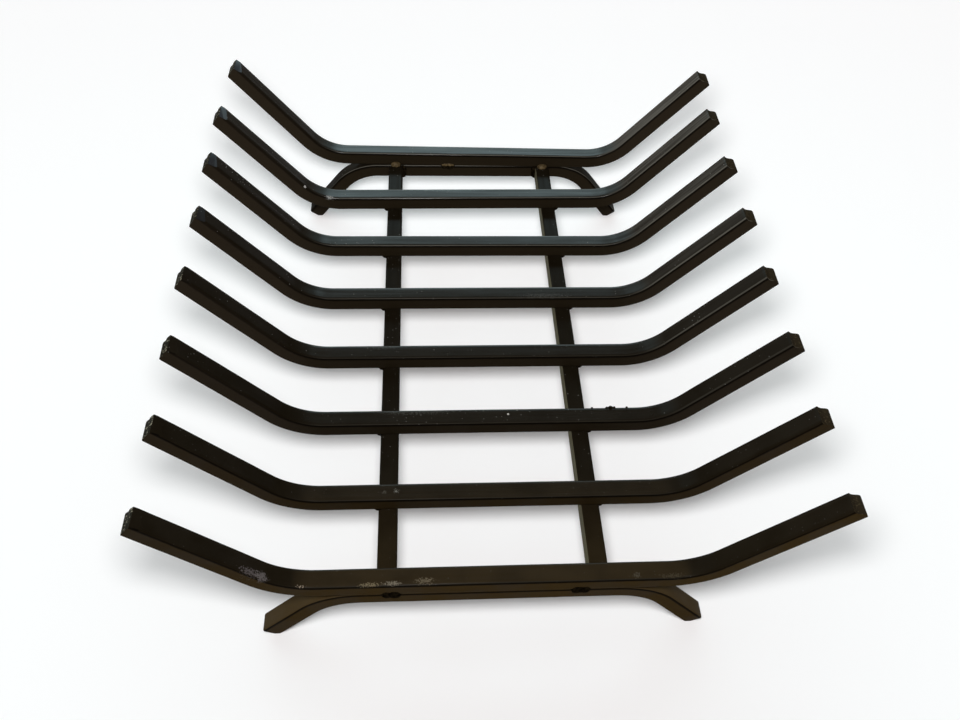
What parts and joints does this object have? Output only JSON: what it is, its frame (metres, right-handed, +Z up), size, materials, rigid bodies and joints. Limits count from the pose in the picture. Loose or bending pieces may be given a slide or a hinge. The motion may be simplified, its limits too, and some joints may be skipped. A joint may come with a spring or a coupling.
{
  "type": "fireplace log grate",
  "caption": "Welded fireplace log grate: square bars bent up at both ends, laid across two rails and two arched legs.",
  "frame": {"origin": "on the floor, under the middle of the grate's outline", "axes": "+X along the grate bars, +Y along the rails towards the rear bar, +Z up"},
  "size_m": [0.5234, 0.547, 0.2024],
  "materials": {
    "bar_steel": "satin black high-temperature paint over mild steel bar, dusty on the tops",
    "frame_steel": "satin black high-temperature paint over mild steel bar",
    "weld_bead": "rippled weld bead under thin black paint, brownish where the paint is thin"
  },
  "bodies": {
    "root": {"bar_1": "bar_steel", "bar_2": "bar_steel", "bar_3": "bar_steel", "bar_4": "bar_steel", "bar_5": "bar_steel", "bar_6": "bar_steel", "bar_7": "bar_steel", "bar_8": "bar_steel", "left_rail": "frame_steel", "right_rail": "frame_steel", "rear_leg": "frame_steel", "front_leg": "frame_steel", "bar_2_welds": "weld_bead", "bar_3_welds": "weld_bead", "bar_4_welds": "weld_bead", "bar_5_welds": "weld_bead", "bar_6_welds": "weld_bead", "bar_7_welds": "weld_bead", "rear_rail_welds": "weld_bead", "front_rail_welds": "weld_bead", "rear_leg_welds": "weld_bead", "front_leg_welds": "weld_bead"}
  },
  "joints": []
}
